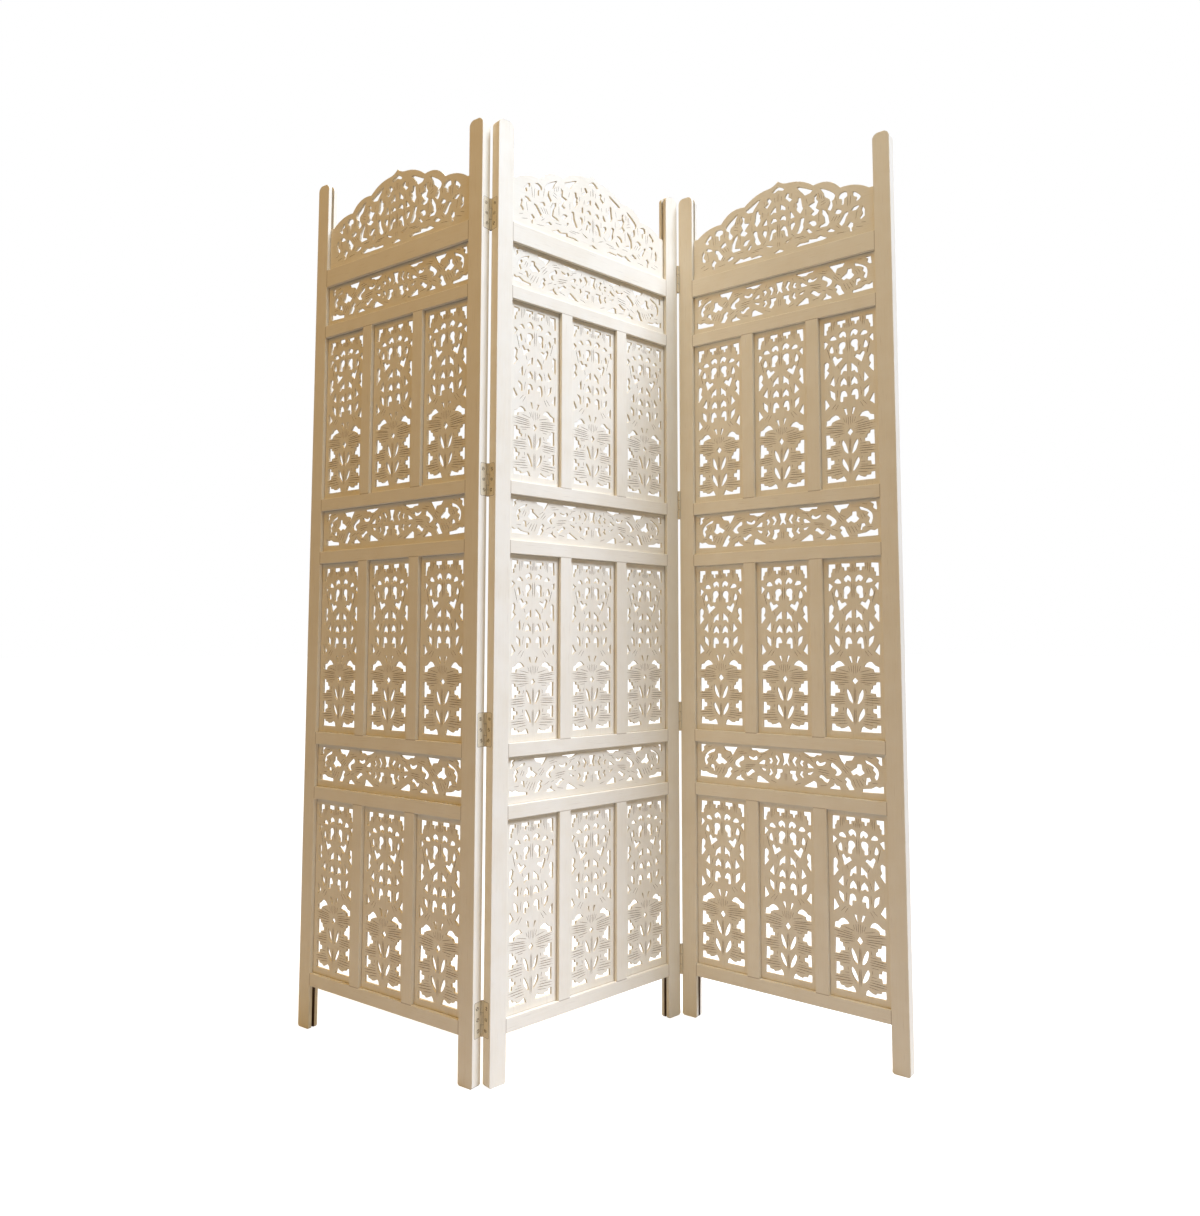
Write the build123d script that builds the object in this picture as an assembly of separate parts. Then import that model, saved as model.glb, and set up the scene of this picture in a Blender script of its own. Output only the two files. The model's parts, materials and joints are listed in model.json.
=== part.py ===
"""Carved jali screen: three pierced wooden leaves that fold on butt hinges.

Each leaf is a painted frame of two grooved stiles, seven rails and six muntins. The grooves hold
nine tall pierced panels, three pierced band panels and a scalloped crest. Four butt hinges join
each pair of leaves: the left pair has its pins at the back and the right pair at the front, so
the screen stands in a zigzag. Sizes are in millimetres, +Z is up, the middle leaf runs along X
with its carved face to -Y, and the origin is on the floor under the middle of the whole screen.
"""

from build123d import *
import os
from math import hypot

# Leaf frame.
LEAF_HEIGHT = 1830.0
LEAF_WIDTH = 498.0
TIMBER = 22.0  # front to back of every stile, rail and muntin
STILE_WIDTH = 35.0
RAIL_HEIGHT = 26.0
TOP_RAIL_HEIGHT = 39.0
MUNTIN_WIDTH = 28.0
FOOT_HEIGHT = 88.0  # floor to the bottom rail
HORN_HEIGHT = 200.0  # stile above the top rail
BAND_HEIGHT = 89.0  # clear height of a band opening
TIERS = 3
COLUMNS = 3
HORN_RADIUS = 12.0  # rounded top corners of a stile
FOOT_CHAMFER = 3.0  # eased bottom corners of a stile

# Grooves, and the tongues and panels that seat in them.
PANEL_THICKNESS = 6.0
GROOVE_PLAY = 0.2  # each side of a panel or tongue
STILE_GROOVE_DEPTH = 8.0
CROSS_GROOVE_DEPTH = 6.0  # grooves of rails and muntins
BOTTOM_GAP = 1.0  # left between a tongue or panel and the bottom of its groove

# Crest above the top rail: its half outline runs from the peak down three scallops.
CREST_PEAK = 171.5
CREST_SHOULDER = 96.0
CREST_OGEE = (22.0, 161.0)  # where the hollow flank of the peak ends
CREST_NOTCHES = ((82.0, 137.5), (141.5, 114.5))  # inner feet of the two lower scallops
CREST_SHOULDER_START = 203.0
CREST_FLANK_SAG = 2.0
CREST_RISES = (5.5, 10.0, 6.0)  # how far each scallop swells from its chord

# Butt hinges.
HINGE_HEIGHTS = (118.0, 642.0, 1115.0, 1640.0)
HINGE_LENGTH = 64.0
PLATE_THICKNESS = 1.2
PLATE_REACH = 20.0  # pin axis to the plate's far edge
KNUCKLE_RADIUS = 2.7
PIN_RADIUS = 1.25
PIN_CLEARANCE = 0.05
KNUCKLE_CLEARANCE = 0.2  # knuckle to the corners of the wood
KNUCKLE_END_GAP = 0.3
PIN_FROM_EDGE = 1.8  # pin axis to the stile's edge, seen along the leaf
KNUCKLES = 3  # the outer two belong to the middle leaf
BARREL_SIDES = 10  # flats round a knuckle or a bore

# How far each outer leaf stands folded from a flat, straight screen.
LEFT_FOLD = 77.0
RIGHT_FOLD = 79.0

# Sizes that follow from the ones above.
GROOVE_WIDTH = PANEL_THICKNESS + 2 * GROOVE_PLAY
GROOVE_FRONT = (TIMBER - GROOVE_WIDTH) / 2
PANEL_FRONT = (TIMBER - PANEL_THICKNESS) / 2
CLEAR_WIDTH = LEAF_WIDTH - 2 * STILE_WIDTH
COLUMN_WIDTH = (CLEAR_WIDTH - (COLUMNS - 1) * MUNTIN_WIDTH) / COLUMNS
COLUMN_PITCH = COLUMN_WIDTH + MUNTIN_WIDTH
TOP_RAIL_BOTTOM = LEAF_HEIGHT - HORN_HEIGHT - TOP_RAIL_HEIGHT
TIER_PITCH = (TOP_RAIL_BOTTOM - FOOT_HEIGHT) / TIERS
TALL_HEIGHT = TIER_PITCH - 2 * RAIL_HEIGHT - BAND_HEIGHT
CREST_BASE = TOP_RAIL_BOTTOM + TOP_RAIL_HEIGHT
PANEL_TONGUE = CROSS_GROOVE_DEPTH - BOTTOM_GAP
RAIL_TONGUE = STILE_GROOVE_DEPTH - BOTTOM_GAP
CORNER_REACH = KNUCKLE_RADIUS + KNUCKLE_CLEARANCE
PIN_FROM_FACE = (CORNER_REACH**2 - PIN_FROM_EDGE**2) ** 0.5
KNUCKLE_PITCH = HINGE_LENGTH / KNUCKLES

# Pierced openings. Each outline is drawn for the right half of a template, from its centre line
# and its lower edge, and is repeated on the left. The centre pieces are drawn whole.
TALL_TEMPLATE = (124.0, 360.0)
TALL_PAIRS = {
    "foot_corner": ((10, 14.5), (20, 30), (52.5, 32.5), (52.5, 14.5)),
    "low_cross": ((52.5, 70), (33, 58), (52.5, 44)),
    "high_cross": ((52.5, 117), (29, 95), (52.5, 85)),
    "fan_arch": ((16.5, 145.5), (31, 158), (52.5, 136)),
    "heart": ((13, 270), (35, 277), (28.5, 254)),
}
TALL_CENTRES = {"diamond": ((0, 108.5), (7.5, 117), (0, 125.5), (-7.5, 117))}

BAND_TEMPLATE = (428.0, 88.0)
BAND_PAIRS = {
    "foot_triangle": ((38, 14), (65, 27), (68, 14)),
    "head_slot": ((38, 82), (58, 75), (80, 82)),
    "fish": ((140, 50), (158, 67), (168, 49)),
    "crescent": ((169, 74), (194, 61), (190, 40)),
}
BAND_CENTRES = {"cross": ((-8.5, 76), (8.5, 76), (8, 51), (-8, 51))}

CREST_PAIRS = {
    "foot_slot": ((40, 12), (80, 21), (112, 12)),
    "stem": ((43, 74), (46, 114), (57, 92)),
    "slant": ((44, 143), (80, 126), (62, 120)),
    "plume": ((98, 126), (130, 102), (120, 72)),
    "crook": ((168, 97), (184, 83), (176, 76)),
}
CREST_CENTRES = {"keystone": ((-14, 149), (0, 158), (14, 149), (0, 150))}


def board(face, front, thickness):
    """A flat board cut to a face drawn in elevation, from its front depth to its back."""
    plane = Plane(origin=(0, front, 0), x_dir=(1, 0, 0), z_dir=(0, -1, 0))
    return extrude(plane * face, amount=-thickness)


def block(x_range, y_range, z_range):
    """A box between two limits on each axis, used to cut grooves and clearances."""
    size = [high - low for low, high in (x_range, y_range, z_range)]
    middle = [(high + low) / 2 for low, high in (x_range, y_range, z_range)]
    return Pos(*middle) * Box(*size)


def across_leaf(piece):
    """The mirror image of a piece about the middle of its leaf."""
    return mirror(piece, about=Plane.YZ.offset(LEAF_WIDTH / 2))


def rectangle(left, bottom, width, height):
    """An upright rectangle placed by its lower left corner."""
    return Pos(left + width / 2, bottom + height / 2) * Rectangle(width, height)


def left_stile():
    """A stile with rounded horn, eased foot and a groove down its whole inner edge."""
    outline = rectangle(0, 0, STILE_WIDTH, LEAF_HEIGHT)
    outline = fillet(outline.vertices().group_by(Axis.Y)[-1], HORN_RADIUS)
    outline = chamfer(outline.vertices().group_by(Axis.Y)[0], FOOT_CHAMFER)
    groove = block(
        (STILE_WIDTH - STILE_GROOVE_DEPTH, STILE_WIDTH),
        (GROOVE_FRONT, GROOVE_FRONT + GROOVE_WIDTH),
        (0, LEAF_HEIGHT),
    )
    return board(outline, 0, TIMBER) - groove


def rail(height, grooved_below=True):
    """A rail between the stiles, grooved for its panels, with a tongue at each end."""
    web_bottom = CROSS_GROOVE_DEPTH * grooved_below
    web_top = height - CROSS_GROOVE_DEPTH
    body = block((0, CLEAR_WIDTH), (0, TIMBER), (0, height))
    groove_y = (GROOVE_FRONT, GROOVE_FRONT + GROOVE_WIDTH)
    body -= block((0, CLEAR_WIDTH), groove_y, (web_top, height))
    if grooved_below:
        body -= block((0, CLEAR_WIDTH), groove_y, (0, web_bottom))
    tongue = rectangle(-RAIL_TONGUE, web_bottom, CLEAR_WIDTH + 2 * RAIL_TONGUE, web_top - web_bottom)
    return Pos(X=STILE_WIDTH) * (body + board(tongue, PANEL_FRONT, PANEL_THICKNESS))


def muntin():
    """An upright between two tall panels, grooved on both edges and tongued at both ends."""
    edge = MUNTIN_WIDTH - CROSS_GROOVE_DEPTH
    section = rectangle(0, 0, MUNTIN_WIDTH, TIMBER)
    section -= rectangle(0, GROOVE_FRONT, CROSS_GROOVE_DEPTH, GROOVE_WIDTH)
    section -= rectangle(edge, GROOVE_FRONT, CROSS_GROOVE_DEPTH, GROOVE_WIDTH)
    body = extrude(section, amount=TALL_HEIGHT)
    web = MUNTIN_WIDTH - 2 * CROSS_GROOVE_DEPTH
    tongue = rectangle(CROSS_GROOVE_DEPTH, -PANEL_TONGUE, web, TALL_HEIGHT + 2 * PANEL_TONGUE)
    return body + board(tongue, PANEL_FRONT, PANEL_THICKNESS)


def cut_pattern(template, pairs, centres, width, height):
    """The openings of one pierced panel, stretched from its template to the real opening."""
    across = width / template[0]
    up = height / template[1]
    holes = [Polygon(*[(x * across, z * up) for x, z in hole], align=None) for hole in centres.values()]
    for hole in pairs.values():
        holes.append(Polygon(*[(x * across, z * up) for x, z in hole], align=None))
        holes.append(Polygon(*[(-x * across, z * up) for x, z in hole], align=None))
    return holes


def tall_panel():
    """A tall pierced panel, from the middle of its opening's lower edge, seated on all edges."""
    width = COLUMN_WIDTH + 2 * PANEL_TONGUE
    face = rectangle(-width / 2, -PANEL_TONGUE, width, TALL_HEIGHT + 2 * PANEL_TONGUE)
    face -= cut_pattern(TALL_TEMPLATE, TALL_PAIRS, TALL_CENTRES, COLUMN_WIDTH, TALL_HEIGHT)
    return board(face, PANEL_FRONT, PANEL_THICKNESS)


def band_panel():
    """A long pierced panel, from the middle of its opening's lower edge, seated on all edges."""
    width = CLEAR_WIDTH + 2 * PANEL_TONGUE
    face = rectangle(-width / 2, -PANEL_TONGUE, width, BAND_HEIGHT + 2 * PANEL_TONGUE)
    face -= cut_pattern(BAND_TEMPLATE, BAND_PAIRS, BAND_CENTRES, CLEAR_WIDTH, BAND_HEIGHT)
    return board(face, PANEL_FRONT, PANEL_THICKNESS)


def swell(start, end, rise):
    """An arc that stands off its chord by a rise, to the upper side of a line drawn rightward."""
    run = hypot(end[0] - start[0], end[1] - start[1])
    across = (start[1] - end[1]) / run
    up = (end[0] - start[0]) / run
    middle = ((start[0] + end[0]) / 2 + across * rise, (start[1] + end[1]) / 2 + up * rise)
    return ThreePointArc(start, middle, end)


def crest():
    """The scalloped crest, seated in the top rail and in both stiles."""
    across = CLEAR_WIDTH / BAND_TEMPLATE[0]
    side = CLEAR_WIDTH / 2 + PANEL_TONGUE
    stops = [CREST_OGEE, *CREST_NOTCHES, (CREST_SHOULDER_START, CREST_SHOULDER)]
    stops = [(x * across, z) for x, z in stops]
    peak = (0, CREST_PEAK)
    edges = [swell(peak, stops[0], -CREST_FLANK_SAG)]
    edges += [swell(start, end, rise) for start, end, rise in zip(stops, stops[1:], CREST_RISES)]
    edges.append(
        Polyline(stops[-1], (side, CREST_SHOULDER), (side, -PANEL_TONGUE), (0, -PANEL_TONGUE), peak)
    )
    half = make_face(Curve() + edges)
    face = half + mirror(half, about=Plane.YZ)
    face -= cut_pattern((BAND_TEMPLATE[0], 1.0), CREST_PAIRS, CREST_CENTRES, CLEAR_WIDTH, 1.0)
    return Pos(LEAF_WIDTH / 2, 0, CREST_BASE) * board(face, PANEL_FRONT, PANEL_THICKNESS)


def barrel(radius, length, to_corners=True):
    """A many-sided bar about the pin axis, with its corners or its flats at the radius."""
    outline = RegularPolygon(radius, BARREL_SIDES, major_radius=to_corners)
    return Pos(Z=-length / 2) * extrude(outline, amount=length)


def knuckle(index):
    """One knuckle of the barrel, before it is bored for the pin."""
    middle = (index + 0.5) * KNUCKLE_PITCH - HINGE_LENGTH / 2
    return Pos(Z=middle) * barrel(KNUCKLE_RADIUS, KNUCKLE_PITCH - KNUCKLE_END_GAP)


def knuckle_notch(index):
    """The room that a plate leaves for a knuckle of the other plate."""
    bottom = index * KNUCKLE_PITCH - HINGE_LENGTH / 2 - KNUCKLE_END_GAP / 2
    top = bottom + KNUCKLE_PITCH + KNUCKLE_END_GAP
    return block((-CORNER_REACH, CORNER_REACH), (-CORNER_REACH, CORNER_REACH), (bottom, top))


def hinge_plate(own_knuckles):
    """A hinge plate drawn at its pin: the wood is on +X and the plate runs to -Y."""
    plate = block(
        (PIN_FROM_EDGE - PLATE_THICKNESS, PIN_FROM_EDGE),
        (-PLATE_REACH, 0),
        (-HINGE_LENGTH / 2, HINGE_LENGTH / 2),
    )
    for index in range(KNUCKLES):
        if index in own_knuckles:
            plate += knuckle(index)
        else:
            plate -= knuckle_notch(index)
    return plate - barrel(PIN_RADIUS + PIN_CLEARANCE, 2 * HINGE_LENGTH, to_corners=False)


def hinge_row(piece, pin):
    """A hinge piece drawn at its pin, repeated at every hinge height of a joint."""
    return [Pos(pin[0], pin[1], height) * piece for height in HINGE_HEIGHTS]


def leaf_nodes():
    """Every piece of one leaf in its own frame, from the lower left front corner, by name."""
    stile = left_stile()
    nodes = {"left_stile": [stile], "right_stile": [across_leaf(stile)], "muntins": []}
    nodes["bottom_rail"] = [Pos(Z=FOOT_HEIGHT) * rail(RAIL_HEIGHT, grooved_below=False)]
    cross_rail, upright, tall, band = rail(RAIL_HEIGHT), muntin(), tall_panel(), band_panel()
    for tier, level in enumerate(("lower", "centre", "upper")):
        tall_bottom = FOOT_HEIGHT + tier * TIER_PITCH + RAIL_HEIGHT
        sill = tall_bottom + TALL_HEIGHT
        band_bottom = sill + RAIL_HEIGHT
        lefts = [STILE_WIDTH + column * COLUMN_PITCH for column in range(COLUMNS)]
        middles = [left + COLUMN_WIDTH / 2 for left in lefts]
        nodes["muntins"] += [Pos(left - MUNTIN_WIDTH, 0, tall_bottom) * upright for left in lefts[1:]]
        nodes[f"{level}_panels"] = [Pos(middle, 0, tall_bottom) * tall for middle in middles]
        nodes[f"{level}_band_sill"] = [Pos(Z=sill) * cross_rail]
        nodes[f"{level}_band"] = [Pos(LEAF_WIDTH / 2, 0, band_bottom) * band]
        if tier < TIERS - 1:
            nodes[f"{level}_band_head"] = [Pos(Z=band_bottom + BAND_HEIGHT) * cross_rail]
    nodes["top_rail"] = [Pos(Z=TOP_RAIL_BOTTOM) * rail(TOP_RAIL_HEIGHT)]
    nodes["crest"] = [crest()]
    return nodes


# Pins in a leaf's own frame: behind its edges for the left joint, in front for the right one.
LEFT_PIN = (-PIN_FROM_EDGE, TIMBER + PIN_FROM_FACE)
RIGHT_PIN = (LEAF_WIDTH + PIN_FROM_EDGE, -PIN_FROM_FACE)
LEAVES = {
    "left": Pos(*LEFT_PIN) * Rot(Z=-LEFT_FOLD) * Pos(-RIGHT_PIN[0], -LEFT_PIN[1]),
    "middle": Pos(0, 0),
    "right": Pos(*RIGHT_PIN) * Rot(Z=-RIGHT_FOLD) * Pos(-LEFT_PIN[0], -RIGHT_PIN[1]),
}

outer_knuckles = (0, KNUCKLES - 1)
inner_knuckles = tuple(range(1, KNUCKLES - 1))
fixed_plate = hinge_plate(outer_knuckles)
swung_plate = hinge_plate(inner_knuckles)
pin = Cylinder(PIN_RADIUS, HINGE_LENGTH)

screen = {}
leaf_pieces = leaf_nodes()
for leaf, place in LEAVES.items():
    for name, pieces in leaf_pieces.items():
        screen[f"{leaf}_leaf_{name}"] = [place * piece for piece in pieces]
screen["left_hinge_fixed_plates"] = hinge_row(fixed_plate, LEFT_PIN)
screen["left_hinge_pins"] = hinge_row(pin, LEFT_PIN)
screen["left_hinge_swung_plates"] = [
    LEAVES["left"] * piece
    for piece in hinge_row(mirror(swung_plate, about=Plane.YZ), (RIGHT_PIN[0], LEFT_PIN[1]))
]
screen["right_hinge_fixed_plates"] = hinge_row(Rot(Z=180) * fixed_plate, RIGHT_PIN)
screen["right_hinge_pins"] = hinge_row(pin, RIGHT_PIN)
screen["right_hinge_swung_plates"] = [
    LEAVES["right"] * piece
    for piece in hinge_row(mirror(swung_plate, about=Plane.XZ), (LEFT_PIN[0], RIGHT_PIN[1]))
]

# The whole screen stands on the floor, centred over the origin.
spread = Compound([piece for pieces in screen.values() for piece in pieces]).bounding_box()
stand = Pos(-spread.center().X, -spread.center().Y, -spread.min.Z)
print("screen size", spread.size)
for name, local in (("left", LEFT_PIN), ("right", RIGHT_PIN)):
    print(name, "joint axis", (stand * Pos(*local)).position)

os.makedirs("parts", exist_ok=True)
for name, pieces in screen.items():
    export_step(Compound(children=[stand * piece for piece in pieces]), f"parts/{name}.step")
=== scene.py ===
"""Carved jali screen: three pierced timber leaves, painted cream and hinged into a zigzag.

Every leaf is a frame of grooved stiles, rails and muntins that holds nine tall fretwork panels,
three fretwork bands and a scalloped crest. The woodwork is laid out in each leaf's own
millimetres: u runs along the leaf, d from its carved face to its back, z up from the floor.
"""

import json
import logging
import math
from dataclasses import dataclass, field
from enum import Enum
from random import Random

import bmesh
import bpy
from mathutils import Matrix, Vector
from mathutils.geometry import delaunay_2d_cdt

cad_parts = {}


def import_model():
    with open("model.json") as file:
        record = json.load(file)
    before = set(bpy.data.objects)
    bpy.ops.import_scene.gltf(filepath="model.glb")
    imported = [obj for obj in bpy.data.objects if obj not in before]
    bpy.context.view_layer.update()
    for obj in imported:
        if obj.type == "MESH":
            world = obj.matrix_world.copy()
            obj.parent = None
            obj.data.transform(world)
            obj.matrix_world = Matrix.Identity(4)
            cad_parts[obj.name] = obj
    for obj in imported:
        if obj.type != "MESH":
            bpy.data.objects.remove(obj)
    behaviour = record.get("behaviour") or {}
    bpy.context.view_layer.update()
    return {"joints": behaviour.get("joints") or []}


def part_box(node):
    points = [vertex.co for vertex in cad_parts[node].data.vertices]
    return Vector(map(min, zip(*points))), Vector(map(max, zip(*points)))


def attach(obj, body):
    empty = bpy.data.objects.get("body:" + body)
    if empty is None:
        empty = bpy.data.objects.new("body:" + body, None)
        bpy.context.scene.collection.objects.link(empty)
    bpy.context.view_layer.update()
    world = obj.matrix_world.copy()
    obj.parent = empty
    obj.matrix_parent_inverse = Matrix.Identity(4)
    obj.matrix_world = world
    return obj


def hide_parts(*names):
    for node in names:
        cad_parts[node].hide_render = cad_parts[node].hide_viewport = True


LOG = logging.getLogger("jali_screen")
MM = 0.001
WELD_MM = 0.005
SHY_MM = 0.1  # keeps one edge just off another
STOCK_MM = 900.0  # how far off in the timber the next run's grain may be taken from
MITRE_LIMIT = 0.35  # keeps the mitre short where an outline turns sharply
ARRIS_STEPS = 3
INSIDE_ONLY, NEARNESS = 1, 1e-5  # how a board's face is cut up: within its rings, to this closeness

Point2 = tuple[float, float]
Point3 = tuple[float, float, float]
Outline = list[Point2]
Line = tuple[Point2, Point2]
Material = bpy.types.Material
Node = bpy.types.Node
Socket = bpy.types.NodeSocket
Tree = bpy.types.NodeTree
Coats = tuple[Socket, Socket | float, Socket]


class Face(Enum):
    """What a face of the woodwork is: it picks the material slot on a piece."""

    PAINTED = 0
    CUT = 1
    BARE = 2
    SCORED = 3


class Edge(Enum):
    """How an opening is cut: with flat chisel strokes, or swept round with a gouge."""

    CHISEL = 0
    GOUGE = 1


class Grain(Enum):
    """The axis of the leaf that a piece's grain runs along."""

    UP = 0
    ACROSS = 1


# The fretwork: openings of the right half, mirrored to the left, from a pattern's centre line
# and its lower edge, in millimetres.


def mirrored(points: Outline) -> Outline:
    """The outline on the other side of a pattern's centre line."""
    return [(-x, z) for x, z in reversed(points)]


@dataclass(frozen=True)
class Opening:
    """One opening of a pattern: how its edge is cut, and its closed outline."""

    edge: Edge
    outline: Outline

    def other_side(self) -> "Opening":
        """The same opening across the pattern's centre line."""
        return Opening(self.edge, mirrored(self.outline))


def read_points(text: str) -> Outline:
    """The points written as "x,z x,z"."""
    return [tuple(float(number) for number in point.split(",")) for point in text.split()]


def chisel(text: str) -> Opening:
    """An opening through these points, its sides straight."""
    return Opening(Edge.CHISEL, read_points(text))


def gouge(text: str) -> Opening:
    """An opening through these points, its side one smooth curve."""
    return Opening(Edge.GOUGE, read_points(text))


def strokes(text: str) -> list[Line]:
    """The V-cut lines written as "x,z>x,z", from the blunt end to the fine one."""
    return [tuple(read_points(line.replace(">", " "))) for line in text.split()]


TALL_OPENINGS: dict[str, Opening] = {
    "crown_bracket": chisel("37.5,348 52.5,348 53,322 46.5,322 46.5,330 44,332 43,339 37.5,340"),
    "hanging_tee": chisel("6,348.5 24,348.5 24,341.5 18.5,341 18,334 13,334 12.5,341 6,341.5"),
    "saddle": gouge("4.5,312 5,320 12,325 20.5,319 18,313 14,311.5 11,316 7,311"),
    "hood": gouge("25,308.5 29.5,316 33.5,317.5 38.5,315 39.5,309.5"),
    "upper_thorn": chisel("52.5,308 49,308 43.5,303 51,293 52.5,294"),
    "teardrop": gouge("35,297 40,292 40.5,284 35,281 31.5,284"),
    "keyhole": gouge("5,295 7,301 12.5,303 18.5,301 20.5,295 19.5,290 20,279 12,278 12,285 8,289"),
    "heart": chisel("28.5,254 34.5,271 32,275 29,275 24,268 17,271 13,266"),
    "flank": chisel("52.5,262 47,266 42.5,261 43,254 46,248 41.5,242 51,230 52.5,231"),
    "arrowhead": chisel("5,255 8,253 17.5,244 19,234 16.5,233.5 11.5,240 5,238"),
    "fin": chisel("31.5,234 41.5,219 32,212 30.5,214"),
    "dart": chisel("11.5,227 18,219 19,211 16.5,210 11.5,213.5 6.5,210 4,211 5,219"),
    "sliver": chisel("42,204 40.5,191 32,181 30.5,183 31,196 35,200"),
    "lancet": gouge("5,188 7,197 12,201 18,198 19.5,189 19.5,179 13,179 13,188"),
    "lower_thorn": chisel("52.5,186 50,186 42,172 52.5,164"),
    "petal": chisel("6.5,162.5 12,162 6.5,149 4.2,150"),
    "scalloped_arch": chisel(
        "20,143 25,149.5 31,152.5 36,151.5 40,148.5 43.5,144.5 50.5,142.5 50.8,132 40,132 38,138 30,141.5"
    ),
    "upper_leaf": gouge("15.5,98 17.2,91 15.5,83 12.3,75.5 6,69.5 4.2,71.5 5.5,78 9,88"),
    "upper_cross": chisel(
        "50.8,112 42.5,112 41.5,106 36,105 35,98 31,97 31,90.5 40.5,89.5 42,83.5 50.8,83.5"
    ),
    "lower_leaf": gouge("16.5,61 18.8,55 17.2,48 13,41 6.5,34 4.5,36 6.8,45 11.5,55"),
    "lower_cross": chisel("50.8,66 43,66 42.3,59.5 35.5,58.5 35.5,51.5 42.5,50 43,42.5 50.8,42.5"),
    "foot_bracket": chisel(
        "9.5,13.5 12,21 16,25 20,22 25.5,19.5 31,18.8 33,22 41,22.5 42.8,27.5 50.8,28 50.8,13.5"
    ),
}
TALL_CENTRES: dict[str, Opening] = {
    "diamond": chisel("0,106.5 5.8,114 0,121.8 -5.8,114"),
}
TALL_LINES: list[Line] = strokes(
    "9,130.5>34,136.5 12,126.5>54,131 10,122.5>55,127 9,118.5>50,121.5 10,115>54,117 10,111.5>39,109.5 "
    "19,106.5>33,105.5 20,87>36,86 19,81.5>55,80.3 17,77.5>54,76 17,73>55,71.5 19,68>40,66.5 22,50>33,49.5 "
    "20,44.5>40,43.5 17,40>55,38.2 14,35.5>54,33 14,31>39,28 28,349>27.4,334 31.2,349.5>30.6,328 "
    "34.4,348>34.8,326 1.5,349>1.3,328 4.2,339>3.6,329 8,339>7,330 2.4,309>2,276 26,290>24,279 "
    "46,295>38,265 22,230>27,212 24,204>26,184 22,174>31,160 27,176>38,164 2,147>2.6,126 7.5,146>5.6,129 "
    "13,144>9,132 1.4,103>1.4,68 1.4,62>1.4,26 22,99>24,90 25,62>24,54 24,260>20,246 1.5,230>1.5,204"
)

BAND_OPENINGS: dict[str, Opening] = {
    "hearth": chisel("8,43 22,43 21,35 26,26 20,21 13,27 13,35 8,37"),
    "sickle": chisel("20,72 26,69 20,60 24,52 19,52 14,62"),
    "wave": chisel("33,66 40,64 36,59 39,54 35,53 30,59"),
    "low_wave": chisel("33,43 38,42 35,36 39,31 36,28 29,35"),
    "wing": chisel("47,59 52,60 64,51 49,51"),
    "low_wing": chisel("47,40 61,44 54,37 48,36"),
    "sail": chisel("38,13 61,27 67,24 68,13"),
    "head_slot": chisel("38,82 80,82 78,78 68,78 62,74 52,75 46,78"),
    "ribbon": gouge("65,63 69,67 75,62 86,66 86,62 78,57 68,58"),
    "tadpole": gouge("72,33 77,38 84,35 90,30 95,32 91,24 84,25 78,31"),
    "boot": chisel("94,13 104,20 105,27 109,21 116,19 118,13"),
    "comma": gouge("97,62 101,65 108,60 117,53 120,47 114,41 105,40 109,46 107,52 98,56"),
    "pennant": chisel("114,82 148,82 143,74 131,72 127,63 120,72"),
    "flame": chisel("126,35 131,40 138,34 141,26 147,16 135,15 128,25 131,30"),
    "fish": chisel("153,66 162,66 163,56 168,50 162,45 157,43 151,47 145,44 139,50 147,56 152,59"),
    "hook": chisel("169,28 171,41 178,42 181,36 174,33 173,28"),
    "crescent": gouge("169,75 184,69 194,60 196,49 192,38 187,44 190,51 184,57 187,62 178,67 171,69"),
    "head_corner": chisel("190,82 203,82 204,66 200,66 195,71 197,77"),
    "foot_corner": chisel("163,13 163,19 181,21 190,26 198,24 206,28 206,14"),
}
BAND_CENTRES: dict[str, Opening] = {
    "keystone": chisel("-8.5,76 8.5,76 4.5,61 8,51 5,51 0,56 -5,51 -8,51 -4.5,61"),
}
BAND_LINES: list[Line] = strokes(
    "124,62>137,47 127,64>140,55 122,57>133,45 150,38>160,20 144,38>152,20 157,38>166,23 163,40>169,31 "
    "68,50>96,47 70,45.5>98,42.5 78,41>96,38 96,74.5>112,72 88,71.5>110,67.5 54,69>62,62 44,73>60,69 "
    "20,14.5>36,20 74,17>92,20 26,50>28,46 10,67>12,55 181,51>175,63 176,49>171,60 174,81>187,78 "
    "183,32>196,32 42,48>47,48 108,35>123,28 98,35>107,31 30,77>33,69 2,38>2,20"
)

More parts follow.
